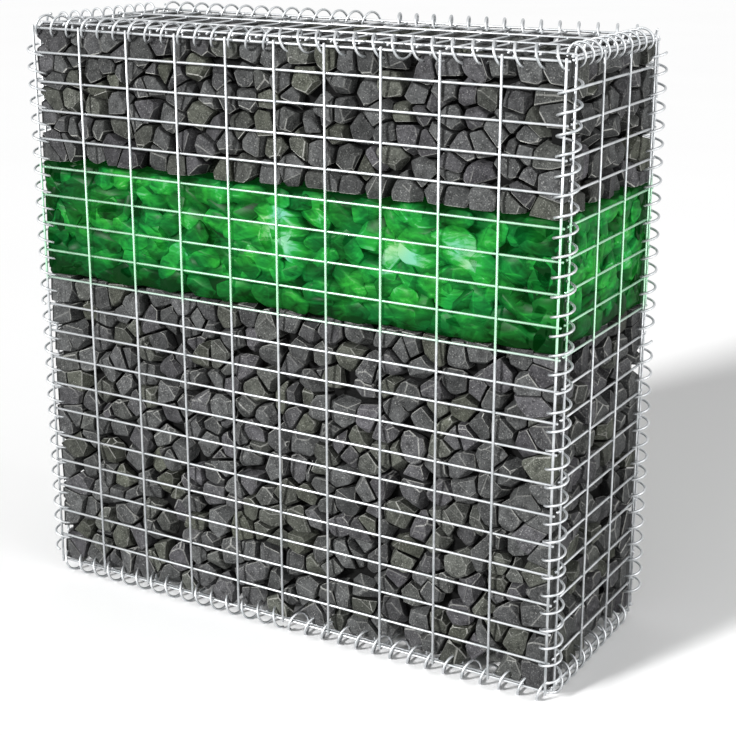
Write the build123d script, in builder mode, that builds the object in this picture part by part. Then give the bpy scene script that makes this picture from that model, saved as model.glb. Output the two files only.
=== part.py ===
from build123d import *
import os
from math import acos, asin, ceil, cos, pi, sin, sqrt

os.makedirs("parts", exist_ok=True)

# A gabion wall: six panels of welded mesh, bound along their edges with coiled wire and filled with
# broken stone, with one band of green slag glass. All sizes are in millimetres. The origin is the middle
# of the footprint, on the ground. The length runs along X, the depth along Y, with the front towards -Y.

# ---- driving sizes -------------------------------------------------------------------------------------
BAR = 2.8  # side of a square mesh bar, close to a 3.5 round wire
WELD = 0.4  # how far crossing bars melt into each other
STUB = 5.0  # how far a bar runs on past the last bar that it crosses

LONG_CELL = 100.8  # cell length along the wall
MID_CELL = 93.2  # the two cells beside the middle upright are shorter
SIDE_CELLS = 4  # full cells each side of the two middle ones
LEVEL_CELL = 50.0  # cell height
LEVEL_CELLS = 19  # full cells up the wall
TOP_CELL = 41.6  # the cell under the lid is lower
DEPTH = 366.0  # between the front and back panels
DEPTH_CELLS = 3

END_GAP = 5.0  # an end panel stands this far outside the front panel's last upright
END_INSET = 23.5  # an end panel's first upright stands this far behind the front panel
LID_INSET = 24.5  # so do the lid's and the base's first lengthwise bars
LID_GAP = 8.0  # from a panel's top or bottom level bar to the lid or base beyond it

COIL_WIRE = 2.5  # side of a binder's square section, inside a 3.5 round wire
COIL_PLAY = 0.07  # between a binder and the outer faces of the bars that it goes round
COIL_STEPS = 8  # straight runs in one turn
LONG_TURNS = 3  # turns of a long edge's binder for each cell of the panel
LEVEL_TURNS = 5 / 3  # turns of an upright binder for each level cell
DEPTH_TURNS = 3.5  # turns of a short edge's binder for each cell of the lid
COIL_CLEARANCE = 3.0  # between binders that meet
MIDDLE_CLEARANCE = 1.0  # from the middle bar to the two binders that start beside it

FILL_GAP = 0.5  # between the fill and the wire round it
BAND_BOTTOM = 555.0  # underside of the glass, above the lowest level bar
BAND_TOP = 760.0

# ---- worked out ----------------------------------------------------------------------------------------
LAYER = BAR - WELD  # between the two layers of bars in a panel
HALF_LENGTH = MID_CELL + SIDE_CELLS * LONG_CELL
HALF_DEPTH = DEPTH / 2
END_X = HALF_LENGTH + END_GAP
PANEL_HEIGHT = LEVEL_CELLS * LEVEL_CELL + TOP_CELL

# a binder goes round the outer bars of the panels that it joins, and its flats just clear them
EDGE_INSET = (LAYER + LID_INSET) / 2
CORNER_INSET = END_INSET / 2
coil_flat = max(EDGE_INSET, CORNER_INSET) + (BAR + COIL_WIRE) / 2 + COIL_PLAY
COIL_RADIUS = coil_flat / cos(pi / COIL_STEPS)
COIL_REACH = COIL_RADIUS + COIL_WIRE / sqrt(2) / cos(pi / COIL_STEPS)  # out to a bend's corner

FOOT_Z = COIL_REACH + LID_GAP / 2  # the lowest level bar
HEAD_Z = FOOT_Z + PANEL_HEIGHT
LID_Z = HEAD_Z + LID_GAP
BASE_Z = FOOT_Z - LID_GAP

LONG_PITCH = LONG_CELL / LONG_TURNS
LEVEL_PITCH = LEVEL_CELL / LEVEL_TURNS


def spread(half_width, cells):
    """Places of the bars that divide a panel's width into equal cells."""
    return [half_width * (2 * step / cells - 1) for step in range(cells + 1)]


half_places = [MID_CELL + LONG_CELL * cell for cell in range(SIDE_CELLS + 1)]
UPRIGHTS = [-place for place in reversed(half_places)] + [0] + half_places
CROSS_BARS = sorted(UPRIGHTS + [(low + high) / 2 for low, high in zip(UPRIGHTS, UPRIGHTS[1:])])
LEVELS = [LEVEL_CELL * level for level in range(LEVEL_CELLS + 1)] + [PANEL_HEIGHT]
END_UPRIGHTS = spread(HALF_DEPTH - END_INSET, DEPTH_CELLS)
LID_BARS = spread(HALF_DEPTH - LID_INSET, DEPTH_CELLS)
SHORT_PITCH = (LID_BARS[1] - LID_BARS[0]) / DEPTH_TURNS

# axes of the binders, each midway between the two bars that it holds
CORNER_X = HALF_LENGTH + END_GAP / 2
CORNER_Y = HALF_DEPTH - CORNER_INSET
EDGE_Y = HALF_DEPTH - EDGE_INSET
EDGE_TOP = HEAD_Z + LID_GAP / 2
EDGE_BASE = FOOT_Z - LID_GAP / 2
SHORT_X = END_X - EDGE_INSET


def keep(part, name):
    """Labels a finished piece and writes its file."""
    part.label = name
    export_step(part, f"parts/{name}.step")


# ---- welded mesh panels --------------------------------------------------------------------------------
def mesh_panel(name, plane, across, up):
    """Welds two layers of bars: the outer ones run along the plane's Y, the inner ones along its X.

    across and up are the bars' places. The plane's normal points out of the basket.
    """
    width = across[-1] - across[0] + 2 * STUB
    height = up[-1] - up[0] + 2 * STUB
    mid_across = (across[0] + across[-1]) / 2
    mid_up = (up[0] + up[-1]) / 2
    with BuildPart() as panel:
        with BuildSketch(plane.offset(-BAR / 2)):
            with Locations(*[(place, mid_up) for place in across]):
                Rectangle(BAR, height)
        extrude(amount=BAR)
        with BuildSketch(plane.offset(-BAR / 2 - LAYER)):
            with Locations(*[(mid_across, place) for place in up]):
                Rectangle(width, BAR)
        extrude(amount=BAR)
    keep(panel.part, name)


for name, facing in (("front_mesh", -1), ("back_mesh", 1)):
    wall = Plane((0, facing * HALF_DEPTH, FOOT_Z), x_dir=(-facing, 0, 0), z_dir=(0, facing, 0))
    mesh_panel(name, wall, UPRIGHTS, LEVELS)

for name, facing in (("left_end_mesh", -1), ("right_end_mesh", 1)):
    wall = Plane((facing * END_X, 0, FOOT_Z), x_dir=(0, facing, 0), z_dir=(facing, 0, 0))
    mesh_panel(name, wall, END_UPRIGHTS, LEVELS)

for name, facing, height in (("base_mesh", -1, BASE_Z), ("lid_mesh", 1, LID_Z)):
    wall = Plane((0, 0, height), x_dir=(0, -facing, 0), z_dir=(0, 0, facing))
    mesh_panel(name, wall, LID_BARS, CROSS_BARS)


# ---- coil binders --------------------------------------------------------------------------------------
def binder(name, start, along, length, pitch, crossing, place, hand):
    """Winds a coil of straight runs round an axis that leaves start along the given direction.

    The coil passes the side that crossing points to at this place along the axis, and a pitch further
    on each time, which keeps it between the bars that cross it there. hand is 1 for a right-hand coil.
    """
    along = Vector(along)
    side = Vector(crossing).normalized()
    other = along.cross(side) * hand
    first_step = ceil(-place / pitch * COIL_STEPS)
    last_step = int((length - place) / pitch * COIL_STEPS)
    points = []
    for step in range(first_step, last_step + 1):
        angle = 2 * pi * step / COIL_STEPS
        around = side * (COIL_RADIUS * cos(angle)) + other * (COIL_RADIUS * sin(angle))
        points.append(Vector(start) + along * (place + pitch * step / COIL_STEPS) + around)
    with BuildPart() as coil:
        with BuildLine() as path:
            Polyline(*points)
        with BuildSketch(Plane(origin=path.line @ 0, z_dir=path.line % 0)):
            Rectangle(COIL_WIRE, COIL_WIRE)
        sweep(transition=Transition.RIGHT)
    keep(coil.part, name)


# upright edges, in a lower and an upper length, between the base and top edges' binders
post_low = EDGE_BASE + COIL_REACH + COIL_CLEARANCE
post_high = EDGE_TOP - COIL_REACH - COIL_CLEARANCE
post_length = (post_high - post_low - COIL_CLEARANCE) / 2
for end, x_sign in (("left", -1), ("right", 1)):
    for face, y_sign in (("front", -1), ("back", 1)):
        for part_name, low in (("lower", post_low), ("upper", post_high - post_length)):
            binder(
                f"{face}_{end}_coil_{part_name}",
                start=(x_sign * CORNER_X, y_sign * CORNER_Y, low),
                along=(0, 0, 1),
                length=post_length,
                pitch=LEVEL_PITCH,
                crossing=(0, -y_sign, 0),
                place=FOOT_Z + LEVEL_PITCH / 6 - low,
                hand=x_sign,
            )

# long edges, in two lengths that are wound opposite ways from the middle. From the lid's cross bars, which
# lie half a pitch apart, a coil turns on to the panel's uprights, which lie whole pitches apart. It passes
# as far beyond the one as it comes short of the other.
long_start = (BAR + COIL_WIRE) / 2 + MIDDLE_CLEARANCE
lid_turn = asin((LID_GAP / 2 - LAYER) / COIL_RADIUS) / (2 * pi)
upright_turn = acos(EDGE_INSET / COIL_RADIUS) / (2 * pi)
for level, height, z_sign in (("base", EDGE_BASE, -1), ("top", EDGE_TOP, 1)):
    for face, y_sign in (("front", -1), ("back", 1)):
        cross_turns = 1 / 2 - y_sign * (lid_turn + upright_turn)
        for end, x_sign in (("left", -1), ("right", 1)):
            binder(
                f"{level}_{face}_coil_{end}",
                start=(x_sign * long_start, y_sign * EDGE_Y, height),
                along=(x_sign, 0, 0),
                length=HALF_LENGTH - long_start,
                pitch=LONG_PITCH,
                crossing=(0, -y_sign, 0),
                place=MID_CELL + (1 - cross_turns) / 2 * LONG_PITCH - long_start,
                hand=x_sign * z_sign,
            )

# short edges, between the long edges' binders
short_length = 2 * (EDGE_Y - COIL_REACH - COIL_CLEARANCE)
for level, height, z_sign in (("base", EDGE_BASE, -1), ("top", EDGE_TOP, 1)):
    for end, x_sign in (("left", -1), ("right", 1)):
        binder(
            f"{level}_{end}_coil",
            start=(x_sign * SHORT_X, -short_length / 2, height),
            along=(0, 1, 0),
            length=short_length,
            pitch=SHORT_PITCH,
            crossing=(-x_sign, 0, 0),
            place=short_length / 2,
            hand=x_sign * z_sign,
        )


# ---- fill ----------------------------------------------------------------------------------------------
fill_x = END_X - LAYER - BAR / 2 - FILL_GAP
fill_y = HALF_DEPTH - LAYER - BAR / 2 - FILL_GAP
fill_low = BASE_Z + LAYER + BAR / 2
fill_high = LID_Z - LAYER - BAR / 2 - FILL_GAP
band_low = FOOT_Z + BAND_BOTTOM
band_high = FOOT_Z + BAND_TOP

# the sloping edges keep clear of the binders beside them
clear = (COIL_REACH + FILL_GAP) * sqrt(2)
above_binder = max(fill_high - EDGE_TOP, EDGE_BASE - fill_low)
post_slope = fill_x - CORNER_X + fill_y - CORNER_Y + clear
long_slope = fill_y - EDGE_Y + above_binder + clear
short_slope = fill_x - SHORT_X + above_binder + clear
FILL_SLOPE = max(post_slope, long_slope, short_slope)


def fill_block(name, low, high, sloped_face=None):
    """A block of fill with its upright edges cut back, and those round its bottom (0) or top (-1) face."""
    with BuildPart() as block:
        with BuildSketch(Plane.XY.offset(low)) as plan:
            Rectangle(2 * fill_x, 2 * fill_y)
            chamfer(plan.vertices(), FILL_SLOPE)
        extrude(amount=high - low)
        if sloped_face is not None:
            chamfer(block.faces().sort_by(Axis.Z)[sloped_face].edges(), FILL_SLOPE)
    keep(block.part, name)


fill_block("lower_stone", fill_low, band_low, sloped_face=0)
fill_block("glass_band", band_low, band_high)
fill_block("upper_stone", band_high, fill_high, sloped_face=-1)
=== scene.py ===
from itertools import combinations, product
from math import cos, radians, sin, tau
from random import Random

import bmesh
import bpy
import numpy as np
from bpy.props import FloatProperty, FloatVectorProperty, IntProperty, PointerProperty
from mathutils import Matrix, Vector


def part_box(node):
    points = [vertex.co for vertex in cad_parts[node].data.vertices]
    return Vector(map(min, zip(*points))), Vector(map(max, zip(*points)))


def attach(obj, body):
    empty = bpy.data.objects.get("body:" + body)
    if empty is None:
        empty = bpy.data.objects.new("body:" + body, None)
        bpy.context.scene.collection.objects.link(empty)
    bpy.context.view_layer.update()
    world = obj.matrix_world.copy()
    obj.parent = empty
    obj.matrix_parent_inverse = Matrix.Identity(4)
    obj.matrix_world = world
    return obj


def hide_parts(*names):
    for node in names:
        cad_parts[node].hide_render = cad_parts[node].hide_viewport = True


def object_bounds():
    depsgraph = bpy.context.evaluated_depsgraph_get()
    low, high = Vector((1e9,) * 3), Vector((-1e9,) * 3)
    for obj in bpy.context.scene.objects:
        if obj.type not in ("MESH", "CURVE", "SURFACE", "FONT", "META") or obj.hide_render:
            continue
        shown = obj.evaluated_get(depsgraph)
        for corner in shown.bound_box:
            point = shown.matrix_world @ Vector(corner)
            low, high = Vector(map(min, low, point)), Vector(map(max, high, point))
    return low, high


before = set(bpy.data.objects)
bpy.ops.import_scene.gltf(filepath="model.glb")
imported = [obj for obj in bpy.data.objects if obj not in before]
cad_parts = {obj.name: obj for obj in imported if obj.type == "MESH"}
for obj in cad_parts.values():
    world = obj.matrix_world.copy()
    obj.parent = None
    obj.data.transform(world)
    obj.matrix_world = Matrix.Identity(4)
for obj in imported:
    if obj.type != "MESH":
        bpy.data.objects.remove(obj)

bl_info = {
    "name": "Gabion wall",
    "version": (1, 0, 0),
    "blender": (4, 5, 0),
    "location": "3D View > Sidebar > Gabion",
    "description": "Dresses a gabion wall in round wire, broken basalt and slag glass",
    "category": "Add Mesh",
}

CAD_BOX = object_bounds()
X, Y, Z = 0, 1, 2
# places closer together than this, in metres, are one place
CLOSE = 0.00001

# mesh panel: the axis that its outer bars run along, that of its inner bars, and the panel's normal
PANELS = {
    "front_mesh": (Z, X, Y),
    "back_mesh": (Z, X, Y),
    "left_end_mesh": (Z, Y, X),
    "right_end_mesh": (Z, Y, X),
    "lid_mesh": (X, Y, Z),
    "base_mesh": (X, Y, Z),
}
BINDERS = [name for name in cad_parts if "coil" in name]
CENTRE = np.array(sum(CAD_BOX, Vector()) / 2)


def linear(hex_colour):
    """Turns an sRGB hex colour into the linear red, green, blue and alpha that Blender works in."""
    channels = [int(hex_colour[place : place + 2], 16) / 255 for place in (1, 3, 5)]
    return [c / 12.92 if c <= 0.04045 else ((c + 0.055) / 1.055) ** 2.4 for c in channels] + [1.0]


# ---- settings ----
def length(name, description, default):
    return FloatProperty(name=name, description=description, default=default, unit="LENGTH", precision=4)


def lengths(name, description, default):
    return FloatVectorProperty(name=name, description=description, default=default, size=3, unit="LENGTH")


def angle(name, description, degrees):
    return FloatProperty(name=name, description=description, default=radians(degrees), subtype="ANGLE")


def colour(name, description, default):
    return FloatVectorProperty(
        name=name, description=description, default=linear(default), size=4, subtype="COLOR"
    )


class WireSettings(bpy.types.PropertyGroup):
    """Sizes and colours of the wire"""

    diameter: length("Diameter", "Diameter of the mesh and binder wire", 0.0042)
    bite: length("Weld bite", "How far crossing wires are pressed into each other", 0.001)
    nugget: length("Weld nugget", "Diameter of the bead where two wires are welded", 0.0052)
    sides: IntProperty(name="Sides", description="Sides of a round wire", default=10, min=6)
    coil_steps: IntProperty(name="Coil steps", description="Steps in one turn of a binder", default=28)
    zinc: colour("Zinc", "Bright zinc coat", "#cbcdcf")
    dull_zinc: colour("Dull zinc", "Zinc coat where it has dulled", "#adb1b3")
    # painted green light: the wires' colour in front of the glass band, which stands in for its light on
    # them
    painted_light_zinc: colour("Lit zinc", "Zinc coat in the green light of the band", "#a3cbaf")


class StoneSettings(bpy.types.PropertyGroup):
    """Sizes and colours of the broken stone"""

    size: lengths(
        "Spacing",
        "Distance between the stones' middles along, across and up the wall",
        (0.0445, 0.046, 0.0425),
    )
    gap: length("Gap", "Least gap between two stones", 0.005)
    recess: length("Recess", "How far most stones' outer faces may lie behind the wires", 0.009)
    # depth of the near-black block of painted shade inside the fill
    core_depth: length("Core depth", "How deep between the stones it is too dark to see", 0.03)
    rim: length("Chipped rim", "Width of the chipped rim round a stone's faces", 0.0015)
    tilt: angle("Tilt", "How far an outer face may turn away from the mesh", 13)
    seed: IntProperty(name="Seed", description="Changes the stones' shapes", default=4)
    plum: colour("Plum basalt", "Stones with a purplish skin", "#424144")
    basalt: colour("Basalt", "Most of the stones", "#414242")
    olive: colour("Olive basalt", "Stones with a weathered, greenish skin", "#42443c")
    chipped: colour("Chipped edge", "Freshly broken edges and grit", "#bdbdb8")


class GlassSettings(bpy.types.PropertyGroup):
    """Sizes and colours of the slag glass"""

    chunk: lengths(
        "Chunk", "Half the length, width and thickness of a glass chunk", (0.044, 0.0205, 0.012)
    )
    spacing: lengths(
        "Spacing", "Distance between chunks along, into and up the band", (0.05, 0.018, 0.029)
    )
    soft: length("Soft edges", "Width of the worn edges of a chunk", 0.002)
    seed: IntProperty(name="Seed", description="Changes the chunks' shapes", default=11)
    glow: FloatProperty(name="Glow", description="Strength of the light in the glass", default=1.0, min=0)
    # colours of the painted glow, from painted shade where the glass is thick to painted light in front
    # of a lamp
    deep: colour("Deep green", "Thick glass, far from the light", "#052b0d")
    green: colour("Green", "Glass in medium light", "#135c27")
    bright: colour("Bright green", "Thin glass in good light", "#27903a")
    yellow_cast: colour("Yellow cast", "Tints the glass where it runs to yellow", "#fffed4")
    blue_cast: colour("Blue cast", "Tints the glass where it runs to blue", "#ccfaf6")
    mint: colour("Mint", "Glass in front of a lamp", "#88b69e")


class StageSettings(bpy.types.PropertyGroup):
    """Camera, floor and light"""

    azimuth: angle("Azimuth", "How far the camera stands round to the right of the front", 30.5)
    elevation: angle("Elevation", "How far the camera looks down", 15.85)
    distance: length("Distance", "From the camera to the point that it aims at", 2.69)
    aim: lengths("Aim", "The point that the camera aims at", (0.064, 0.0, 0.535))
    lens: FloatProperty(name="Lens", description="Focal length", default=76.3, unit="CAMERA")
    shift: FloatProperty(name="Shift", description="Upward shift of the lens, in frames", default=-0.07)
    sun: FloatProperty(name="Sun", description="Strength of the soft key light", default=4.95)
    sun_width: angle("Sun width", "How wide the sun looks, which softens its shadows", 9)
    sun_way: FloatVectorProperty(
        name="Sun's way",
        description="The way that the sun's light travels",
        default=(0.38, 0.925, -0.39),
        size=3,
        subtype="DIRECTION",
    )
    fill: FloatProperty(name="Fill", description="Power of the panel to the right, in watts", default=50)
    fill_size: length("Fill size", "Side of the fill panel", 2)
    fill_place: lengths("Fill place", "Where the fill panel hangs", (3, -0.5, 1))
    sky: FloatProperty(name="Sky", description="Strength of the light from all round", default=0.42)
    floor: colour("Floor", "Floor as it lights the wall", "#d9d9d9")


class GabionSettings(bpy.types.PropertyGroup):
    """All the settings of the gabion wall"""

    wire: PointerProperty(type=WireSettings)
    stone: PointerProperty(type=StoneSettings)
    glass: PointerProperty(type=GlassSettings)
    stage: PointerProperty(type=StageSettings)


# ---- meshes ----
def unit(vectors):
    """Vectors scaled to a length of one."""
    vectors = np.asarray(vectors, float)
    return vectors / np.linalg.norm(vectors, axis=-1, keepdims=True)


def new_piece(name, mesh, material, slot, *nodes):
    """Puts a mesh in the scene as a piece of the wall that stands for these CAD nodes."""
    mesh.materials.append(material)
    piece = bpy.data.objects.new(name, mesh)
    bpy.context.scene.collection.objects.link(piece)
    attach(piece, "root")
    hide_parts(*nodes)
    return piece


class RoundWork:
    """Gathers round wires and beads into one mesh."""

    def __init__(self, sides):
        self.sides = sides
        self.places = []
        self.faces = []

    def add_rings(self, middles, outward, radii):
        """A closed round form whose rings stand square to the line of their middles."""
        ahead = unit(np.gradient(middles, axis=0))
        outward = np.broadcast_to(outward, middles.shape)
        across = unit(np.cross(ahead, outward))
        outward = np.cross(across, ahead)
        start = len(self.places)
        for middle, out, side, radius in zip(middles, outward, across, radii):
            for corner in range(self.sides):
                around = tau * corner / self.sides
                self.places.append(middle + radius * (cos(around) * out + sin(around) * side))
        last = start + (len(middles) - 1) * self.sides
        for ring in range(start, last, self.sides):
            for corner in range(self.sides):
                here = ring + corner
                beside = ring + (corner + 1) % self.sides
                self.faces.append((here, beside, beside + self.sides, here + self.sides))
        self.faces.append(tuple(range(start, start + self.sides))[::-1])
        self.faces.append(tuple(range(last, last + self.sides)))

    def add_wire(self, line, outward, radius):
        """A wire along a line, with its two cut ends slightly rounded."""
        line = np.asarray(line, float)
        outward = np.broadcast_to(outward, line.shape)
        round_off = radius * 0.35
        ahead = unit(np.gradient(line, axis=0))
        middles = np.concatenate([line[:1], line, line[-1:]])
        middles[1] += round_off * ahead[0]
        middles[-2] -= round_off * ahead[-1]
        radii = [radius - round_off] + [radius] * len(line) + [radius - round_off]
        self.add_rings(middles, np.concatenate([outward[:1], outward, outward[-1:]]), radii)

    def mesh(self, name):
        made = bpy.data.meshes.new(name)
        made.from_pydata([tuple(place) for place in self.places], [], self.faces)
        made.shade_smooth()
        made.set_sharp_from_angle(angle=radians(50))
        return made


def corners(node):
    """Every corner of a CAD node."""
    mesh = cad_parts[node].data
    places = np.empty(3 * len(mesh.vertices))
    mesh.vertices.foreach_get("co", places)
    return np.unique(places.reshape(-1, 3).round(6), axis=0)


# ---- materials ----
# sockets of a colour Mix node, which share their names and so go by number
FACTOR, FIRST, SECOND = 0, 6, 7
# how far past the band's top and foot the painted green light on the wires starts to fade and is gone, in
# metres
PAINTED_LIGHT_FADE = (-0.01, 0.015)


def add_node(tree, kind, sockets=None, **settings):
    """Adds a node with its settings. A socket takes a value, an output, or a node for its first one."""
    node = tree.nodes.new(kind)
    for name, value in settings.items():
        setattr(node, name, value)
    for name, value in (sockets or {}).items():
        if isinstance(value, bpy.types.Node):
            value = next(output for output in value.outputs if output.enabled)
        if isinstance(value, bpy.types.NodeSocket):
            tree.links.new(value, node.inputs[name])
        else:
            node.inputs[name].default_value = value
    return node


def per_metre(millimetres):
    """Scale of a pattern whose features are this far apart."""
    return 1000 / millimetres


def new_material(name):
    """A material with an empty node tree, and the object's own coordinates, which are in metres."""
    material = bpy.data.materials.new(name)
    material.use_nodes = True
    tree = material.node_tree
    tree.nodes.clear()
    return material, tree, add_node(tree, "ShaderNodeTexCoord").outputs["Object"]


def zinc_wire_material(name, settings, painted_light_box=None):
    """Hot-dip galvanised steel: a bright, satin zinc coat with duller clouds and a fine grain, and, where
    a box is given, painted green light from the glass band on the wires in front of it.
    """
    material, tree, place = new_material(name)
    clouds = add_node(
        tree,
        "ShaderNodeTexNoise",
        {"Vector": place, "Scale": per_metre(22), "Detail": 3.0, "Roughness": 0.6},
    )
    dulled = add_node(tree, "ShaderNodeMapRange", {"Value": clouds, "From Min": 0.42, "From Max": 0.68})
    # grains of zinc are finer than a millimetre; they are drawn 1.5 mm apart so that they show
    grains = add_node(
        tree, "ShaderNodeTexNoise", {"Vector": place, "Scale": per_metre(1.5), "Detail": 2.0}
    )
    roughness = add_node(
        tree,
        "ShaderNodeMapRange",
        {"Value": clouds, "From Min": 0.3, "From Max": 0.7, "To Min": 0.42, "To Max": 0.6},
    )
    bump = add_node(tree, "ShaderNodeBump", {"Height": grains, "Strength": 0.25, "Distance": 0.0002})
    coat = add_node(
        tree,
        "ShaderNodeMix",
        {FACTOR: dulled, FIRST: settings.zinc, SECOND: settings.dull_zinc},
        data_type="RGBA",
    )
    colour_seen = coat
    if painted_light_box:
        # painted green light: the wires right in front of the lit glass fill turn mint in their colour,
        # which stands in for its light on them
        low, high = painted_light_box
        half_height = (high[Z] - low[Z]) / 2
        axes = add_node(tree, "ShaderNodeSeparateXYZ", {"Vector": place})
        from_middle = add_node(
            tree, "ShaderNodeMath", {0: axes.outputs["Z"], 1: low[Z] + half_height}, operation="SUBTRACT"
        )
        apart = add_node(tree, "ShaderNodeMath", {0: from_middle}, operation="ABSOLUTE")
        painted_light_mask = add_node(
            tree,
            "ShaderNodeMapRange",
            {
                "Value": apart,
                "From Min": half_height + PAINTED_LIGHT_FADE[0],
                "From Max": half_height + PAINTED_LIGHT_FADE[1],
                "To Min": 1.0,
                "To Max": 0.0,
            },
        )
        painted_light_coat = add_node(
            tree,
            "ShaderNodeMix",
            {FACTOR: painted_light_mask, FIRST: coat, SECOND: settings.painted_light_zinc},
            data_type="RGBA",
        )
        colour_seen = painted_light_coat
    shader = add_node(
        tree,
        "ShaderNodeBsdfPrincipled",
        {"Base Color": colour_seen, "Roughness": roughness, "Metallic": 1.0, "Normal": bump},
    )
    add_node(tree, "ShaderNodeOutputMaterial", {"Surface": shader})
    return material


def basalt_material(settings):
    """Broken basalt: flat, gritty, matt faces, each stone its own grey, with pale chipped rims."""
    material, tree, place = new_material("broken_basalt")
    tone, skin, rim = (
        add_node(tree, "ShaderNodeAttribute", attribute_name=name).outputs["Fac"]
        for name in ("tone", "skin", "rim")
    )
    mottle = add_node(
        tree,
        "ShaderNodeTexNoise",
        {"Vector": place, "Scale": per_metre(16), "Detail": 4.0, "Roughness": 0.65},
    )
    # grit of 2 to 3 mm, the finest that shows from a few steps away
    grit = add_node(
        tree,
        "ShaderNodeTexNoise",
        {"Vector": place, "Scale": per_metre(2.4), "Detail": 3.0, "Roughness": 0.7},
    )
    skins = add_node(tree, "ShaderNodeValToRGB", {"Fac": skin})
    steps = skins.color_ramp.elements
    steps[0].color = settings.plum
    steps[1].color = settings.olive
    for position in (0.35, 0.7):
        steps.new(position).color = settings.basalt
    # painted shade: a tone below 0 marks the near-black blocks that stand for the dark between the stones
    own_tone = add_node(
        tree, "ShaderNodeMapRange", {"Value": tone, "From Min": PAINTED_SHADE_TONE, "To Min": 0.02, "To Max": 1.38}
    )
    patches = add_node(tree, "ShaderNodeMath", {0: mottle, 1: grit}, operation="ADD")
    shade = add_node(
        tree,
        "ShaderNodeMapRange",
        {"Value": patches, "From Min": 0.7, "From Max": 1.3, "To Min": 0.25, "To Max": 1.6},
    )
    shaded = add_node(tree, "ShaderNodeVectorMath", {0: skins, "Scale": shade}, operation="SCALE")
    specks = add_node(
        tree,
        "ShaderNodeMapRange",
        {"Value": grit, "From Min": 0.6, "From Max": 0.74, "To Min": 0.0, "To Max": 0.55},
    )
    speckled = add_node(
        tree, "ShaderNodeMix", {FACTOR: specks, FIRST: shaded, SECOND: settings.chipped}, data_type="RGBA"
    )
    toned = add_node(tree, "ShaderNodeVectorMath", {0: speckled, "Scale": own_tone}, operation="SCALE")
    broken = add_node(tree, "ShaderNodeMapRange", {"Value": grit, "From Min": 0.32, "From Max": 0.46})
    chips = add_node(tree, "ShaderNodeMath", {0: rim, 1: broken}, operation="MULTIPLY")
    chipped = add_node(
        tree, "ShaderNodeMix", {FACTOR: chips, FIRST: toned, SECOND: settings.chipped}, data_type="RGBA"
    )
    height = add_node(tree, "ShaderNodeMath", {0: mottle, 1: 4.0, 2: grit}, operation="MULTIPLY_ADD")
    bump = add_node(tree, "ShaderNodeBump", {"Height": height, "Strength": 0.9, "Distance": 0.0008})
    shader = add_node(
        tree,
        "ShaderNodeBsdfPrincipled",
        {"Base Color": chipped, "Roughness": 0.78, "Specular IOR Level": 0.15, "Normal": bump},
    )
    add_node(tree, "ShaderNodeOutputMaterial", {"Surface": shader})
    return material


def slag_glass_material(settings):
    """Green slag glass with painted light from lamps inside: a painted glow and painted shade, deep green
    where thick, mint by the lamps, with little shine.
    """
    material, tree, place = new_material("green_slag_glass_painted_glow")
    # the painted glow: painted pools of lamp light and painted shade, worked out at each corner
    glow = add_node(tree, "ShaderNodeAttribute", attribute_name="glow").outputs["Fac"]
    # the slag set in level streaks, longer than they are high
    drawn_out = add_node(
        tree, "ShaderNodeVectorMath", {0: place, 1: (0.45, 0.45, 1.0)}, operation="MULTIPLY"
    )
    clouds = add_node(
        tree,
        "ShaderNodeTexNoise",
        {
            "Vector": drawn_out,
            "Scale": per_metre(15),
            "Detail": 4.0,
            "Roughness": 0.62,
            "Distortion": 0.8,
        },
    )
    drift = add_node(tree, "ShaderNodeMath", {0: clouds, 1: 1.1, 2: -0.55}, operation="MULTIPLY_ADD")
    # each broken face has its own random tone; the facet value also holds painted shade on faces turned
    # into the gaps, on the second layer and on the dark block, and painted light on the thin rims
    facet = add_node(tree, "ShaderNodeAttribute", attribute_name="facet").outputs["Fac"]
    painted_light_sum = add_node(tree, "ShaderNodeMath", {0: facet, 1: glow}, operation="ADD")
    light = add_node(tree, "ShaderNodeMath", {0: painted_light_sum, 1: drift}, operation="ADD")
    ramp = add_node(tree, "ShaderNodeValToRGB", {"Fac": light})
    steps = ramp.color_ramp.elements
    steps[0].position, steps[0].color = 0.08, settings.deep
    steps[1].position, steps[1].color = 1.0, settings.mint
    for position, shade in ((0.46, settings.green), (0.76, settings.bright)):
        steps.new(position).color = shade
    # some chunks run to yellow and some to blue
    hue = add_node(tree, "ShaderNodeTexNoise", {"Vector": place, "Scale": per_metre(55), "Detail": 1.0})
    to_blue = add_node(tree, "ShaderNodeMapRange", {"Value": hue, "From Min": 0.36, "From Max": 0.64})
    cast = add_node(
        tree,
        "ShaderNodeMix",
        {FACTOR: to_blue, FIRST: settings.yellow_cast, SECOND: settings.blue_cast},
        data_type="RGBA",
    )
    tinted = add_node(tree, "ShaderNodeVectorMath", {0: ramp, 1: cast}, operation="MULTIPLY")
    # the base colour carries the same painted glow and shade, darker, at 0.4 of the emission's colour
    painted_light_base = add_node(tree, "ShaderNodeVectorMath", {0: tinted, "Scale": 0.4}, operation="SCALE")
    shader = add_node(
        tree,
        "ShaderNodeBsdfPrincipled",
        {
            "Base Color": painted_light_base,
            "Roughness": 0.36,
            "IOR": 1.5,
            "Specular IOR Level": 0.025,
            "Transmission Weight": 0.05,
            "Emission Color": tinted,
            "Emission Strength": settings.glow,
        },
    )
    add_node(tree, "ShaderNodeOutputMaterial", {"Surface": shader})
    return material


# ---- wire ----
# how far the outside of a round binder stays within that of its CAD coil, in metres
COIL_ROOM = 0.0001


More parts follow.
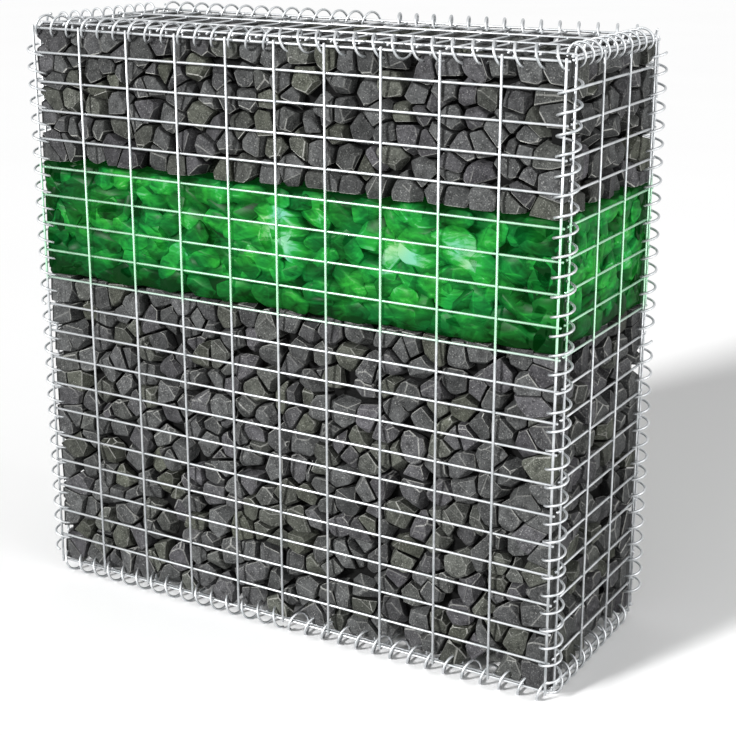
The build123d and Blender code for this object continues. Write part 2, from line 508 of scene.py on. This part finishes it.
def bar_lines(places, runs, normal, depth):
    """The two ends of each bar of a panel that runs along one axis, at a depth along its normal."""
    across = 3 - runs - normal
    end = places[:, runs].max()
    at_end = places[np.isclose(places[:, runs], end, atol=CLOSE)]
    middles = np.unique(at_end[:, across].round(5)).reshape(-1, 2).mean(axis=1)
    lines = np.zeros((len(middles), 2, 3))
    lines[:, 0, runs] = places[:, runs].min()
    lines[:, 1, runs] = end
    lines[:, :, across] = middles[:, None]
    lines[:, :, normal] = depth
    return lines


def layer_depth(places, runs, normal):
    """Middle of the layer of bars that runs along one axis."""
    at_end = places[np.isclose(places[:, runs], places[:, runs].max(), atol=CLOSE)]
    return (at_end[:, normal].min() + at_end[:, normal].max()) / 2


class GABION_OT_add_mesh_panels(bpy.types.Operator):
    """Welds the six mesh panels from round wire, on the lines of the CAD bars"""

    bl_idname = "gabion.add_mesh_panels"
    bl_label = "Mesh panels"

    def execute(self, context):
        settings = context.scene.gabion.wire
        zinc = zinc_wire_material("galvanised_steel_mesh_painted_light", settings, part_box("glass_band"))
        radius = settings.diameter / 2
        for node, (outer_runs, inner_runs, normal) in PANELS.items():
            places = corners(node)
            facing = np.sign(places[:, normal].mean() - CENTRE[normal])
            outer_depth = layer_depth(places, outer_runs, normal)
            inner_depth = outer_depth - facing * (settings.diameter - settings.bite)
            outer_bars = bar_lines(places, outer_runs, normal, outer_depth)
            inner_bars = bar_lines(places, inner_runs, normal, inner_depth)
            work = RoundWork(settings.sides)
            outward = facing * np.eye(3)[normal]
            for line in [*outer_bars, *inner_bars]:
                work.add_wire(line, outward, radius)
            # a bead bulges in the middle and draws in at its two ends
            bead_steps = np.array([-0.6, -0.25, 0.25, 0.6]) * settings.diameter
            bead_radii = np.array([0.7, 1, 1, 0.7]) * settings.nugget / 2
            for outer in outer_bars:
                for inner in inner_bars:
                    weld = np.array(outer[0])
                    weld[outer_runs] = inner[0][outer_runs]
                    weld[normal] = (outer_depth + inner_depth) / 2
                    middles = weld + bead_steps[:, None] * outward
                    work.add_rings(middles, np.eye(3)[outer_runs], bead_radii)
            new_piece(f"{node}_wire", work.mesh(node), zinc, "galvanised_wire", node)
        return {"FINISHED"}


def binder_line(node, steps, wire_radius):
    """The smooth line of a binder, and the way out from its axis, read from the bends of its CAD coil."""
    places = corners(node)
    along = int(np.ptp(places, axis=0).argmax())
    bends = places[places[:, along].argsort()].reshape(-1, 4, 3).mean(axis=1)
    first, second = [axis for axis in (X, Y, Z) if axis != along]
    low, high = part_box(node)
    axis_line = (np.array(low) + np.array(high)) / 2
    out = bends - axis_line
    angles = np.unwrap(np.arctan2(out[:, second], out[:, first]))
    radius = (high[first] - low[first]) / 2 - wire_radius - COIL_ROOM
    turns = abs(angles[-1] - angles[0]) / tau
    count = round(turns * steps) + 1
    around = np.linspace(angles[0], angles[-1], count)
    outward = np.zeros((count, 3))
    outward[:, first] = np.cos(around)
    outward[:, second] = np.sin(around)
    line = axis_line + radius * outward
    line[:, along] = np.linspace(bends[0, along], bends[-1, along], count)
    return line, outward


class GABION_OT_add_binders(bpy.types.Operator):
    """Winds the coiled binders that hold the panels together, on the axes and pitch of the CAD coils"""

    bl_idname = "gabion.add_binders"
    bl_label = "Coiled binders"

    def execute(self, context):
        settings = context.scene.gabion.wire
        zinc = zinc_wire_material("galvanised_steel_wire", settings)
        for node in BINDERS:
            line, outward = binder_line(node, settings.coil_steps, settings.diameter / 2)
            work = RoundWork(settings.sides)
            work.add_wire(line, outward, settings.diameter / 2)
            new_piece(f"{node}_wire", work.mesh(node), zinc, "galvanised_wire", node)
        return {"FINISHED"}


# ---- fill ----
# marks the faces of a solid's rims while it is made
RIM = 1
# shortest edge that a solid keeps, in metres
FINE = 0.0004
# from the middle of a panel's outer bars to the inside of its inner bars, in wire diameters
PANEL_DEPTH = 1.3
# how far a stone's middle strays from its place in the rows, in stone sizes along, across and up
STRAY = (0.34, 0.16, 0.36)
# how far rows move along and columns up, every other one the other way, in stone sizes
STAGGER_ALONG, STAGGER_UP = 0.22, 0.12
# least distance from a stone's middle to the side of the fill, in stone sizes
SIDE_ROOM = 0.36
# share of the stones that have a small one beside them
SMALL_SHARE = 0.16
# how many of the stones round a stone can touch it
NEIGHBOURS = 16
# share of the stones' outer faces that may lie deeper than the rest, and how many times deeper
DEEP_SHARE, DEEP = 0.2, 2.2
# the same for stones at the wall's corners: on its ends, and on its other sides
END_DEEP, SIDE_DEEP = 0.1, 0.3
# how far in from the two sides the post of painted shade behind an upright edge starts and ends, in
# metres
PAINTED_SHADE_POST = (0.012, 0.026)
# painted shade: tone of the dark block between the stones, and facet value of the dark block behind the
# glass
PAINTED_SHADE_TONE, PAINTED_SHADE_FACET = -1, -0.3
# how far the block of painted shade behind the glass lies in from the sides, in metres
GLASS_SHADE_CORE = (0.027, 0.027, 0)
# room that the glass leaves at its ends, its foot and its top, and in from an upright edge, in metres
END_ROOM, FOOT_ROOM, EDGE_ROOM = 0.008, 0.006, 0.012
# least and greatest length, width and thickness of a chunk, against the setting
CHUNK_SIZES = ((0.75, 1.2), (0.8, 1.2), (0.8, 1.3))
# how far chunks lean from level, in degrees: at the rims of the band, and elsewhere
RIM_LEAN, LEAN = 8, 32
# how the light differs from chunk to chunk, the most that it adds, and how it differs between facets
CHUNK_SPREAD, CHUNK_LIMIT, FACET_SPREAD = 0.13, 0.1, 0.08
# painted shade that the second layer and a facet turned from the mesh get, and painted light that a thin,
# softened rim gains
LAYER_PAINTED_SHADE, TURNED_PAINTED_SHADE, RIM_PAINTED_LIGHT = 0.14, 0.36, 0.03
# painted glow of the glass away from all the painted shade
MID_GLOW = 0.58
# painted shade at the upright edges, how they differ, and the reach of that along and across, in metres
EDGE_LOSS, EDGE_CHANGE, EDGE_REACH = 0.35, 0.15, (0.07, 0.05)
# painted shade in the crevices between the chunks, how deep they are in metres, and how steeply it falls
CREVICE_LOSS, CREVICE_DEPTH, CREVICE_FALL = 0.48, 0.012, 1.3
# painted shade at the foot and at the top, and over what share of the band's height
FOOT_LOSS, TOP_LOSS = (0.56, 0.15), (0.18, 0.03)
# painted pools of light from lamps behind the front: shares of the band's length, depth and height, then
# the radius of their light in metres and its strength; the back has the same lamps, turned half a turn
PAINTED_LAMP_POOLS = (
    (0.72, 0.0, 0.57, 0.034, 0.42),
    (0.52, 0.0, 0.72, 0.034, 0.3),
    (0.53, 0.0, 0.45, 0.03, 0.14),
    (0.24, 0.0, 0.8, 0.03, 0.12),
    (0.33, 0.0, 0.4, 0.035, 0.1),
    (0.86, 0.0, 0.58, 0.035, 0.2),
    (1.0, 0.95, 0.5, 0.045, 0.22),
)


def solid_from_planes(planes, least_edge):
    """Corners and faces of the solid behind these planes. Corners within the least edge become one."""
    normals, reaches = (np.array(part) for part in zip(*planes))
    triples = np.array(list(combinations(range(len(normals)), 3)))
    matrices = normals[triples]
    firm = abs(np.linalg.det(matrices)) > 1e-3
    triples = triples[firm]
    points = np.linalg.solve(matrices[firm], reaches[triples][..., None])[..., 0]
    inside = (points @ normals.T <= reaches + 1e-7).all(axis=1)
    points = points[inside]
    triples = triples[inside]
    kept = []
    names = []
    for point in points:
        near = [name for name, place in enumerate(kept) if np.linalg.norm(place - point) < least_edge]
        if not near:
            kept.append(point)
        names.append(near[0] if near else len(kept) - 1)
    faces = []
    for plane, normal in enumerate(normals):
        on_face = np.flatnonzero((triples == plane).any(axis=1))
        if len(on_face) > 2:
            spokes = points[on_face] - points[on_face].mean(axis=0)
            turned = np.arctan2(spokes @ np.cross(normal, spokes[0]), spokes @ spokes[0])
            face = list(dict.fromkeys(names[corner] for corner in on_face[turned.argsort()]))
            if len(face) > 2:
                faces.append(face)
    return kept, faces


def closed_solid(planes, rim_width):
    """The solid behind these planes, as a bmesh. Edges too short for the rim go, if it still closes."""
    for least_edge in (1.3 * max(rim_width, FINE), FINE):
        points, faces = solid_from_planes(planes, least_edge)
        solid = bmesh.new()
        corners_made = [solid.verts.new(point) for point in points]
        for face in faces:
            ring = [corners_made[corner] for corner in face]
            if not solid.faces.get(ring):
                solid.faces.new(ring)
        if all(edge.is_manifold for edge in solid.edges):
            break
    return solid


class Rubble:
    """Gathers broken solids into one mesh, with a set of values for each of their faces."""

    def __init__(self, *value_names):
        self.value_names = value_names
        self.places = []
        self.faces = []
        self.values = []

    def add(self, planes, rim_width, face_values):
        """Adds the solid behind these planes, with its edges broken where it has a rim width."""
        solid = closed_solid(planes, rim_width)
        if rim_width:
            broken = bmesh.ops.bevel(
                solid,
                geom=solid.edges[:],
                offset=rim_width,
                segments=1,
                affect="EDGES",
                clamp_overlap=True,
            )
            for face in broken["faces"]:
                face.material_index = RIM
            # where two rims meet, the corners between them fall together
            bmesh.ops.remove_doubles(solid, verts=solid.verts[:], dist=CLOSE)
        solid.verts.index_update()
        solid.normal_update()
        start = len(self.places)
        self.places += [vertex.co[:] for vertex in solid.verts]
        for face in solid.faces:
            self.faces.append([start + vertex.index for vertex in face.verts])
            self.values.append(face_values(np.array(face.normal), face.material_index == RIM))
        solid.free()

    def mesh(self, name):
        made = bpy.data.meshes.new(name)
        made.from_pydata(self.places, [], self.faces)
        for value_name, values in zip(self.value_names, zip(*self.values)):
            made.attributes.new(value_name, "FLOAT", "FACE").data.foreach_set("value", values)
        return made


def box_planes(low, high):
    """Planes round a box between two corners."""
    axes = np.eye(3)
    return [(-axes[axis], -low[axis]) for axis in (X, Y, Z)] + [
        (axes[axis], high[axis]) for axis in (X, Y, Z)
    ]


class FillSpace:
    """The space inside the wires that one layer of the fill takes up."""

    def __init__(self, node, wire_diameter):
        low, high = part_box(node)
        inner = self.inside_wires(wire_diameter)
        self.low = np.maximum(np.array(low), inner[0])
        self.high = np.minimum(np.array(high), inner[1])
        self.span = self.high - self.low

    def sides_near(self, place, reach):
        """The sides of the space that lie within reach: axis, outward direction and limit."""
        return [
            (axis, sign * np.eye(3)[axis], limit)
            for axis in (X, Y, Z)
            for sign, limit in ((-1, self.low[axis]), (1, self.high[axis]))
            if abs(limit - place[axis]) < reach[axis]
        ]

    def core(self, inset):
        """Planes round the middle of the fill, which is out of sight."""
        return box_planes(self.low + inset, self.high - inset)

    def posts(self, outer, inner):
        """Planes round a post inside each upright edge, between these depths from the two sides."""
        for inwards in product((1, -1), repeat=2):
            low, high = np.array([self.low, self.high])
            for axis, inward in zip((X, Y), inwards):
                side = self.low[axis] if inward > 0 else self.high[axis]
                low[axis], high[axis] = sorted((side + inward * outer, side + inward * inner))
            yield box_planes(low, high)

    @staticmethod
    def inside_wires(wire_diameter):
        """Lowest and highest corner of the space between the panels' inner bars."""
        low = np.empty(3)
        high = np.empty(3)
        for node, (outer_runs, _, normal) in PANELS.items():
            places = corners(node)
            depth = layer_depth(places, outer_runs, normal)
            if depth > CENTRE[normal]:
                high[normal] = depth - PANEL_DEPTH * wire_diameter
            else:
                low[normal] = depth + PANEL_DEPTH * wire_diameter
        return low, high


def stone_seeds(space, size, rng):
    """Middles of the stones, in staggered and disturbed rows, and how many rows lie outside each."""
    counts = np.maximum((space.span / size).round().astype(int), 1)
    step = space.span / counts
    seeds = []
    shells = []
    for cell in np.ndindex(*counts):
        cell = np.array(cell)
        nudge = np.array([rng.uniform(-far, far) for far in STRAY])
        nudge[X] += STAGGER_ALONG if cell[Z] % 2 else -STAGGER_ALONG
        nudge[Z] += STAGGER_UP if cell[X] % 2 else -STAGGER_UP
        places = [np.clip(cell + 0.5 + nudge, SIDE_ROOM, counts - SIDE_ROOM)]
        # here and there a small stone fills the corner between four others
        if rng.random() < SMALL_SHARE and (cell < counts - 1).all():
            places.append(places[0] + [rng.uniform(0.4, 0.55), 0, rng.uniform(0.4, 0.55)])
        for place in places:
            seeds.append(space.low + place * step)
            shells.append(np.minimum(cell, counts - 1 - cell))
    return np.array(seeds), np.array(shells)


def direction(rng):
    """A way to point at random."""
    return unit([rng.gauss(0, 1), rng.gauss(0, 1), rng.gauss(0, 1)])


def outer_planes(seed, side, others, settings, rng):
    """A stone's flat outer face, turned a little from the mesh, and the broken facets round it."""
    axis, outward, limit = side
    # stones rest on the base and carry the lid, and stand straight at the wall's corners
    at_corner = any(other_axis != Z for other_axis, _, _ in others) or axis == Z
    deeper = DEEP if rng.random() < DEEP_SHARE else 1
    if at_corner:
        deeper = END_DEEP if axis == X else SIDE_DEEP
    middle = seed.copy()
    middle[axis] = limit
    middle -= outward * settings.recess * rng.uniform(0.05, 1) * deeper
    lean = min(deeper, 1) * sin(settings.tilt)
    tilted = unit(outward + np.array([rng.uniform(-1, 1) for _ in range(3)]) * lean)
    yield tilted, tilted @ middle
    if at_corner and axis == X:
        return
    sideways = np.eye(3)[[other for other in (X, Y, Z) if other != axis]]
    facets = rng.choice((5, 6, 7))
    start = rng.uniform(0, tau)
    for facet in range(facets):
        around = start + (facet + rng.uniform(-0.3, 0.3)) * tau / facets
        aside = cos(around) * sideways[0] + sin(around) * sideways[1]
        slope = radians(rng.uniform(50, 78) if at_corner else rng.uniform(28, 68))
        normal = cos(slope) * outward + sin(slope) * aside
        reach = rng.uniform(0.34, 0.53) * settings.size[X]
        if all(aside @ other_outward < 0.3 for _, other_outward, _ in others):
            yield normal, normal @ (middle + aside * reach)


def stone_planes(seed, neighbours, space, settings, rng):
    """Planes that bound one stone: its neighbours, the mesh, and a few broken corners."""
    planes = []
    sides = space.sides_near(seed, np.array(settings.size) * 1.3)
    at_corner = len([axis for axis, _, _ in sides if axis != Z]) > 1
    gap = settings.gap * (0.4 if at_corner else 1)
    for neighbour in neighbours:
        normal = unit(neighbour - seed)
        planes.append((normal, normal @ (seed + neighbour) / 2 - gap / 2))
    for side in sides:
        axis, outward, limit = side
        planes.append((outward, outward[axis] * limit))
        planes += outer_planes(seed, side, [other for other in sides if other is not side], settings, rng)
    for _ in range(0 if at_corner else 4):
        corner = direction(rng)
        planes.append((corner, corner @ seed + rng.uniform(0.39, 0.53) * settings.size[X]))
    return planes


def stone_mesh(name, node, belongs, settings, wire, rim_towards):
    """Breaks the stones of one layer that can be seen.

    belongs picks this piece's stones, and rim_towards is the way that the palest rims face.
    """
    rng = Random(settings.seed)
    space = FillSpace(node, wire.diameter)
    seeds, shells = stone_seeds(space, np.array(settings.size), rng)
    rubble = Rubble("tone", "skin", "rim")
    towards = np.array(rim_towards)
    for seed, shell in zip(seeds, shells):
        own = Random(rng.random())
        if shell.min() > 0 or not belongs(seed):
            continue
        distances = np.linalg.norm(seeds - seed, axis=1)
        nearest = seeds[distances.argsort()[1 : NEIGHBOURS + 1]]
        tone = own.random()
        skin = own.random()
        chipping = own.uniform(0.3, 1)

        def face_values(normal, is_rim):
            # rims are paler the more they face rim_towards
            paleness = max(0, normal @ towards + 0.2) * own.uniform(0.1, 1.3) if is_rim else 0
            return tone, skin, paleness * chipping

        rubble.add(stone_planes(seed, nearest, space, settings, own), settings.rim, face_values)
    # painted shade: the middle, and a post behind each upright edge, are near-black blocks that stand for
    # the dark between the stones
    if belongs(space.high):
        for planes in (space.core(settings.core_depth), *space.posts(*PAINTED_SHADE_POST)):
            rubble.add(planes, 0, lambda normal, is_rim: (PAINTED_SHADE_TONE, 0.5, 0))
    return rubble.mesh(name)


class GABION_OT_add_stone_fill(bpy.types.Operator):
    """Packs the lower and upper layers of broken basalt behind the mesh"""

    bl_idname = "gabion.add_stone_fill"
    bl_label = "Stone fill"

    def execute(self, context):
        settings = context.scene.gabion.stone
        wire = context.scene.gabion.wire
        basalt = basalt_material(settings)
        halves = {"front": lambda seed: seed[Y] < 0, "back": lambda seed: seed[Y] >= 0}
        for node, rim_towards in (("lower_stone", (0.2, 0, 0.5)), ("upper_stone", (0.15, 0, -1.3))):
            for side, part in halves.items():
                name = f"{node}_{side}"
                mesh = stone_mesh(name, node, part, settings, wire, rim_towards)
                new_piece(name, mesh, basalt, "broken_stone", node)
        return {"FINISHED"}


def chunk_planes(middle, long_way, outward, space, settings, rng):
    """Planes round one leaf-shaped glass chunk: its rim, its two ridged faces and the mesh."""
    thin = unit(outward + 0.36 * direction(rng))
    long_way = unit(long_way - thin * (long_way @ thin))
    ways = np.array([long_way, np.cross(thin, long_way), thin])
    half = np.array(settings.chunk) * [rng.uniform(*span) for span in CHUNK_SIZES]
    planes = []

    def add(direction_in_chunk, share_of_half=1.0):
        """A plane that touches the chunk's ellipsoid, or cuts it at this share of its half size."""
        normal = unit(unit(direction_in_chunk) @ ways + 0.05 * direction(rng))
        planes.append((normal, normal @ middle + share_of_half * np.linalg.norm(half * (ways @ normal))))

    for end in (-1, 1):
        add((end, 0, 0), rng.uniform(0.9, 1.1))
        for degrees in (35, 62, 90, 118, 145):
            around = radians(degrees + rng.uniform(-9, 9))
            add((cos(around) / half[X], end * sin(around) / half[Y], rng.uniform(-60, 60)))
        for ridge in (-1, 1):
            add((rng.uniform(-0.1, 0.1), ridge * rng.uniform(0.1, 0.5), end), rng.uniform(0.78, 0.95))
    for axis, side, limit in space.sides_near(middle, [2 * settings.chunk[X]] * 3):
        planes.append((side, side[axis] * limit))
    return planes


def chunk_places(space, settings, rng):
    """Middles of the chunks, at each upright edge and then in two layers behind each side.

    Yields the place, the axis and sign of the way out, the layer, and whether it is at the band's rim.
    """
    along_step, inward_step, up_step = settings.spacing
    rows = round((space.span[Z] - 2 * FOOT_ROOM) / up_step)
    for along in (space.low[X] + EDGE_ROOM, space.high[X] - EDGE_ROOM):
        for sign in (-1, 1):
            for row in range(rows):
                up = (row + 0.5 + rng.uniform(-0.1, 0.1)) / rows * space.span[Z]
                into = (space.low if sign < 0 else space.high)[Y] - sign * settings.chunk[Z]
                yield np.array([along, into, space.low[Z] + up]), Y, sign, 0, True
    for axis, along in ((Y, X), (X, Y)):
        for sign in (-1, 1):
            face = space.low[axis] if sign < 0 else space.high[axis]
            for layer in (0, 1):
                columns = round((space.span[along] - 2 * END_ROOM) / along_step) - layer
                for row, column in product(range(rows), range(columns)):
                    at_rim = row in (0, rows - 1)
                    place = np.empty(3)
                    share_along = (column + 0.5 + rng.uniform(-0.3, 0.3)) / columns
                    share_up = (row + 0.5 + rng.uniform(-0.3, 0.3) * (not at_rim)) / rows
                    place[along] = space.low[along] + END_ROOM
                    place[along] += share_along * (space.span[along] - 2 * END_ROOM)
                    place[Z] = space.low[Z] + FOOT_ROOM + share_up * (space.span[Z] - 2 * FOOT_ROOM)
                    inward = settings.chunk[Z] + layer * inward_step + rng.uniform(-2, 4) / 1000
                    place[axis] = face - sign * inward
                    yield place, axis, sign, layer, at_rim


def glow_at(places, space):
    """Painted glow of the band, for the lamps inside it: painted shade, least at its ends and its foot,
    also at its top and deep in its crevices, and painted light, most in front of each lamp.
    """
    to_end = np.minimum(places - space.low, space.high - places)
    # painted shade: the front's left end and the back's right end are painted darker than the other two
    # corners
    from_middle = np.sign(places - (space.low + space.high) / 2)
    fade = EDGE_LOSS + EDGE_CHANGE * from_middle[:, X] * from_middle[:, Y]
    glow = MID_GLOW - fade * np.exp(-to_end[:, X] / EDGE_REACH[X]) * np.exp(-to_end[:, Y] / EDGE_REACH[Y])
    depth = np.minimum(to_end[:, X], to_end[:, Y]) / CREVICE_DEPTH
    glow -= CREVICE_LOSS * depth.clip(0, 1.3) ** CREVICE_FALL
    to_foot = places[:, Z] - space.low[Z]
    to_top = space.high[Z] - places[:, Z]
    for distance, (loss, share) in ((to_foot, FOOT_LOSS), (to_top, TOP_LOSS)):
        glow -= loss * np.exp(-distance / (share * space.span[Z]))
    for along, into, up, radius, strength in PAINTED_LAMP_POOLS:
        for turned in (False, True):
            lamp = np.array([along, into, up])
            if turned:
                lamp[:2] = 1 - lamp[:2]
            reach = (places - (space.low + lamp * space.span)) / radius
            # the painted light reaches deeper than it spreads
            reach[:, Y] *= 0.6
            glow += strength * np.exp(-(reach**2).sum(axis=1) / 2)
    return np.clip(glow, 0, 1.2)


class GABION_OT_add_glass_band(bpy.types.Operator):
    """Packs the band of lit green slag glass between the stone layers"""

    bl_idname = "gabion.add_glass_band"
    bl_label = "Glass band"

    def execute(self, context):
        settings = context.scene.gabion.glass
        glass = slag_glass_material(settings)
        rng = Random(settings.seed)
        space = FillSpace("glass_band", context.scene.gabion.wire.diameter)
        halves = {"front": Rubble("facet"), "back": Rubble("facet")}
        for place, axis, sign, layer, at_rim in chunk_places(space, settings, rng):
            own = Random(rng.random())
            outward = sign * np.eye(3)[axis]
            lean = radians(own.gauss(0, RIM_LEAN if at_rim else LEAN))
            level = np.cross(np.eye(3)[Z], outward)
            long_way = cos(lean) * level + sin(lean) * np.eye(3)[Z]
            tone = min(own.gauss(0, CHUNK_SPREAD), CHUNK_LIMIT) - LAYER_PAINTED_SHADE * layer

            def face_values(normal, is_rim):
                # painted shade: faces that turn away from the mesh lie in the gaps and are painted darker
                turned = min(max(0.8 - normal @ outward, 0), 0.9)
                bend = own.uniform(-FACET_SPREAD, FACET_SPREAD)
                # painted light on the softened rims, where the chunk is thin
                return (tone + bend - TURNED_PAINTED_SHADE * turned + RIM_PAINTED_LIGHT * is_rim,)

            half = halves["front" if place[Y] < CENTRE[Y] else "back"]
            planes = chunk_planes(place, long_way, outward, space, settings, own)
            half.add(planes, 0 if layer else settings.soft, face_values)
        # a block of painted shade behind the glass, so that the gaps look dark
        halves["back"].add(space.core(GLASS_SHADE_CORE), 0, lambda normal, is_rim: (PAINTED_SHADE_FACET,))
        for half, rubble in halves.items():
            mesh = rubble.mesh(f"glass_band_{half}")
            mesh.shade_smooth()
            mesh.set_sharp_from_angle(angle=radians(60))
            places = np.empty(3 * len(mesh.vertices))
            mesh.vertices.foreach_get("co", places)
            glow = mesh.attributes.new("glow", "FLOAT", "POINT")
            glow.data.foreach_set("value", glow_at(places.reshape(-1, 3), space))
            new_piece(mesh.name, mesh, glass, "slag_glass", "glass_band")
        return {"FINISHED"}


# ---- stage ----
# how far the floor runs each way, in metres
FLOOR_REACH = 20


def white_to_the_eye(tree):
    """1 where a ray comes from the camera or by way of a mirror or glass, and 0 for light on the wall."""
    path = add_node(tree, "ShaderNodeLightPath")
    seen = path.outputs["Is Camera Ray"]
    for name in ("Is Glossy Ray", "Is Transmission Ray"):
        either = add_node(tree, "ShaderNodeMath", {0: seen, 1: path.outputs[name]}, operation="MAXIMUM")
        seen = either
    return seen


class GABION_OT_set_stage(bpy.types.Operator):
    """Lays a pale floor and sets a soft sun, an even sky and the camera"""

    bl_idname = "gabion.set_stage"
    bl_label = "Stage"

    def execute(self, context):
        scene = context.scene
        settings = scene.gabion.stage
        self.lay_floor(scene, settings)
        self.hang_sky(scene, settings)
        self.light_wall(scene, settings)
        self.place_camera(scene, settings)
        scene.view_settings.view_transform = "Standard"
        return {"FINISHED"}

    @staticmethod
    def lay_floor(scene, settings):
        material, tree, place = new_material("pale_painted_floor")
        patches = add_node(tree, "ShaderNodeTexNoise", {"Vector": place, "Scale": per_metre(900)})
        white = add_node(
            tree,
            "ShaderNodeMix",
            {FACTOR: patches, FIRST: linear("#ffffff"), SECOND: linear("#fcfcfc")},
            data_type="RGBA",
        )
        paint = add_node(
            tree,
            "ShaderNodeMix",
            {FACTOR: white_to_the_eye(tree), FIRST: settings.floor, SECOND: white},
            data_type="RGBA",
        )
        shader = add_node(tree, "ShaderNodeBsdfDiffuse", {"Color": paint})
        add_node(tree, "ShaderNodeOutputMaterial", {"Surface": shader})
        mesh = bpy.data.meshes.new("floor")
        ring = [(-1, -1, 0), (1, -1, 0), (1, 1, 0), (-1, 1, 0)]
        mesh.from_pydata([Vector(corner) * FLOOR_REACH for corner in ring], [], [(0, 1, 2, 3)])
        mesh.materials.append(material)
        floor = bpy.data.objects.new("floor", mesh)
        scene.collection.objects.link(floor)

    @staticmethod
    def hang_sky(scene, settings):
        world = bpy.data.worlds.new("even_sky")
        world.use_nodes = True
        tree = world.node_tree
        tree.nodes.clear()
        strength = add_node(
            tree,
            "ShaderNodeMapRange",
            {"Value": white_to_the_eye(tree), "To Min": settings.sky, "To Max": 1.0},
        )
        sky = add_node(tree, "ShaderNodeBackground", {"Color": linear("#ffffff"), "Strength": strength})
        add_node(tree, "ShaderNodeOutputWorld", {"Surface": sky})
        scene.world = world

    @staticmethod
    def light_wall(scene, settings):
        sun = bpy.data.lights.new("soft_sun", "SUN")
        sun.energy = settings.sun
        sun.angle = settings.sun_width
        lamp = bpy.data.objects.new("soft_sun", sun)
        lamp.rotation_euler = Vector(settings.sun_way).to_track_quat("-Z", "Y").to_euler()
        scene.collection.objects.link(lamp)
        panel = bpy.data.lights.new("fill_panel", "AREA")
        panel.energy = settings.fill
        panel.size = settings.fill_size
        side_lamp = bpy.data.objects.new("fill_panel", panel)
        side_lamp.location = settings.fill_place
        aim = Vector(settings.aim) - side_lamp.location
        side_lamp.rotation_euler = aim.to_track_quat("-Z", "Y").to_euler()
        scene.collection.objects.link(side_lamp)

    @staticmethod
    def place_camera(scene, settings):
        camera = bpy.data.objects.new("camera", bpy.data.cameras.new("camera"))
        camera.data.lens = settings.lens
        camera.data.shift_y = settings.shift
        level = cos(settings.elevation)
        back = Vector(
            (sin(settings.azimuth) * level, -cos(settings.azimuth) * level, sin(settings.elevation))
        )
        camera.location = Vector(settings.aim) + back * settings.distance
        camera.rotation_euler = back.to_track_quat("Z", "Y").to_euler()
        scene.collection.objects.link(camera)
        scene.camera = camera


# ---- add-on ----
STEPS = (
    GABION_OT_add_mesh_panels,
    GABION_OT_add_binders,
    GABION_OT_add_stone_fill,
    GABION_OT_add_glass_band,
    GABION_OT_set_stage,
)


class GABION_PT_wall(bpy.types.Panel):
    """Lists the steps that dress the wall, and their settings"""

    bl_label = "Gabion wall"
    bl_idname = "GABION_PT_wall"
    bl_space_type = "VIEW_3D"
    bl_region_type = "UI"
    bl_category = "Gabion"

    def draw(self, context):
        for step in STEPS:
            self.layout.operator(step.bl_idname)
        settings = context.scene.gabion
        for title in ("wire", "stone", "glass", "stage"):
            box = self.layout.box()
            box.label(text=title.capitalize())
            group = getattr(settings, title)
            for name in group.bl_rna.properties.keys():
                if name not in {"rna_type", "name"}:
                    box.prop(group, name)


CLASSES = (
    WireSettings,
    StoneSettings,
    GlassSettings,
    StageSettings,
    GabionSettings,
    *STEPS,
    GABION_PT_wall,
)


def register():
    for item in CLASSES:
        bpy.utils.register_class(item)
    bpy.types.Scene.gabion = PointerProperty(type=GabionSettings)


def unregister():
    del bpy.types.Scene.gabion
    for item in reversed(CLASSES):
        bpy.utils.unregister_class(item)


def main():
    register()
    bpy.ops.gabion.add_mesh_panels()
    bpy.ops.gabion.add_binders()
    bpy.ops.gabion.add_stone_fill()
    bpy.ops.gabion.add_glass_band()
    bpy.ops.gabion.set_stage()


if __name__ == "__main__":
    main()
